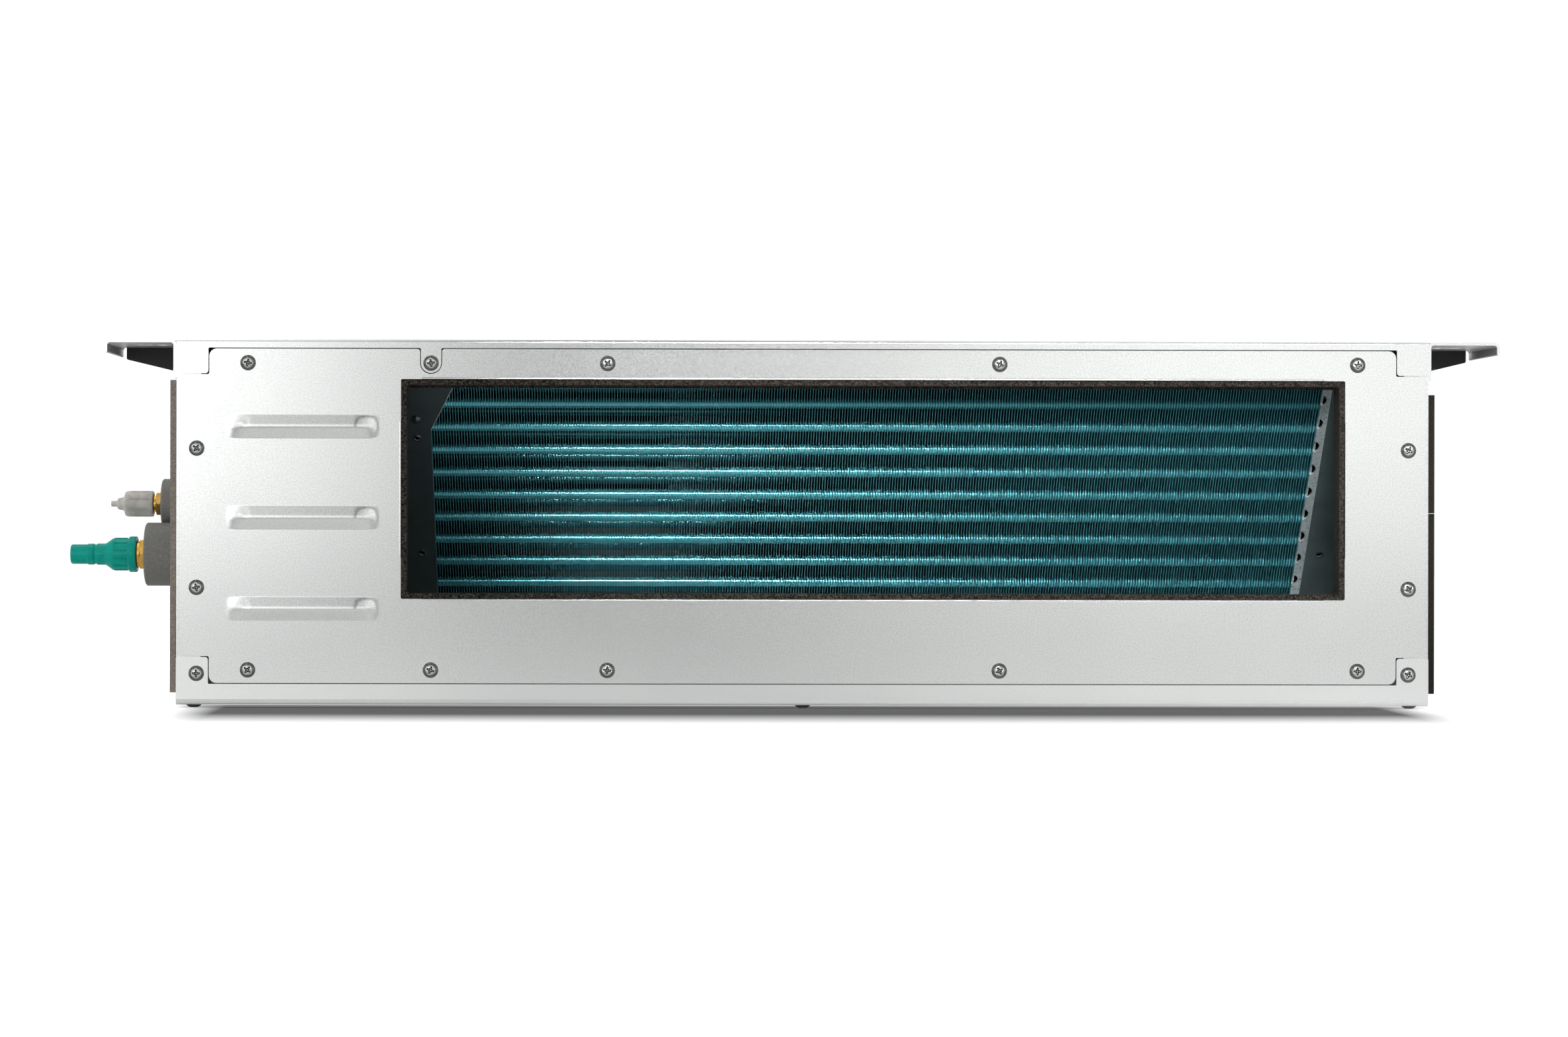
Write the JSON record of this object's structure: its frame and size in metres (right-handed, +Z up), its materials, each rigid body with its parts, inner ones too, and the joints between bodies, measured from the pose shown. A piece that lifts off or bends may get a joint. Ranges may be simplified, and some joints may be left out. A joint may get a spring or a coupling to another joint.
{
  "type": "ducted vrf indoor unit",
  "caption": "Ceiling-concealed ducted fan coil unit: folded steel casing, leaning coil behind a wide outlet, scroll fans, filter, drain pan and hanging brackets.",
  "frame": {"origin": "centre of the casing's footprint on the underside of the base panel", "axes": "+Z up, -Y out of the air outlet, +X to the right of a person who faces the outlet"},
  "size_m": [1.0752, 0.5869, 0.2704],
  "materials": {
    "galvanised_steel": "galvanised, fine spangle",
    "bracket_steel": "galvanised, in shade",
    "coil_end_steel": "galvanised",
    "slate_steel": "dark coating, satin",
    "coated_fins": "blue-green hydrophilic coating",
    "copper": "drawn copper",
    "brass": "machined",
    "green_plastic": "gloss",
    "grey_plastic": "translucent",
    "collar_foam": "closed-cell foam with a smooth skin",
    "lining_foam": "speckled foam",
    "side_foam": "closed-cell foam sheet",
    "pan_foam": "expanded foam with a plastic liner",
    "rubber": "matt",
    "black_plastic": "moulded",
    "motor_shell": "satin",
    "circuit_board": "solder mask",
    "filter_net": "woven net"
  },
  "bodies": {
    "casing": {"base_panel": "galvanised_steel", "circuit_board": "circuit_board", "control_box": "galvanised_steel", "control_cover": "galvanised_steel", "drain_pan": "pan_foam", "expansion_valve": "brass", "fan_deck": "galvanised_steel", "fan_motor": "motor_shell", "fin_block": "coated_fins", "front_cable_grommet": "rubber", "front_coil_circuit": "copper", "front_left_hanger": "bracket_steel", "front_right_hanger": "bracket_steel", "gas_collar": "collar_foam", "gas_fitting": "brass", "gas_manifold": "copper", "gas_pipe": "copper", "inlet_panel": "galvanised_steel", "left_coil_end_plate": "coil_end_steel", "left_cover_plate": "slate_steel", "left_lower_scroll": "black_plastic", "left_motor_clamp": "galvanised_steel", "left_motor_ring": "rubber", "left_side_foam": "side_foam", "left_side_panel": "galvanised_steel", "left_upper_scroll": "black_plastic", "liquid_collar": "collar_foam", "liquid_fitting": "brass", "liquid_inlet_pipe": "copper", "liquid_manifold": "copper", "liquid_outlet_pipe": "copper", "lower_filter_rail": "galvanised_steel", "motor_cradle": "galvanised_steel", "outlet_lining": "lining_foam", "outlet_panel": "galvanised_steel", "rear_cable_grommet": "rubber", "rear_coil_circuit": "copper", "rear_left_hanger": "bracket_steel", "rear_right_hanger": "bracket_steel", "right_coil_end_plate": "coil_end_steel", "right_cover_plate": "slate_steel", "right_lower_foam": "side_foam", "right_lower_scroll": "black_plastic", "right_motor_clamp": "galvanised_steel", "right_motor_ring": "rubber", "right_side_panel": "galvanised_steel", "right_upper_foam": "side_foam", "right_upper_scroll": "black_plastic", "terminal_block": "black_plastic", "top_panel": "galvanised_steel", "upper_filter_rail": "galvanised_steel", "valve_coil": "black_plastic"},
    "fan_rotor": {"fan_shaft": "coil_end_steel", "left_fan_wheel": "black_plastic", "right_fan_wheel": "black_plastic"},
    "air_filter": {"filter_frame": "black_plastic", "filter_net": "filter_net"},
    "gas_cap": {"gas_cap": "green_plastic"},
    "liquid_cap": {"liquid_cap": "grey_plastic"},
    "drain_plug": {"drain_plug": "rubber"}
  },
  "joints": [
    {"name": "fan_spin", "type": "hinge", "parent": "casing", "child": "fan_rotor", "pos_m": [0, 0.1332, 0.11654], "axis": [1, 0, 0], "continuous": true},
    {"name": "filter_slide", "type": "slide", "parent": "casing", "child": "air_filter", "axis": [1, 0, 0], "range_m": [0, 0.84]},
    {"name": "gas_cap_pull", "type": "slide", "parent": "casing", "child": "gas_cap", "axis": [-1, 0, 0], "range_m": [0, 0.06]},
    {"name": "liquid_cap_pull", "type": "slide", "parent": "casing", "child": "liquid_cap", "axis": [-1, 0, 0], "range_m": [0, 0.045]},
    {"name": "drain_plug_pull", "type": "slide", "parent": "casing", "child": "drain_plug", "axis": [-1, 0, 0], "range_m": [0, 0.03]}
  ]
}
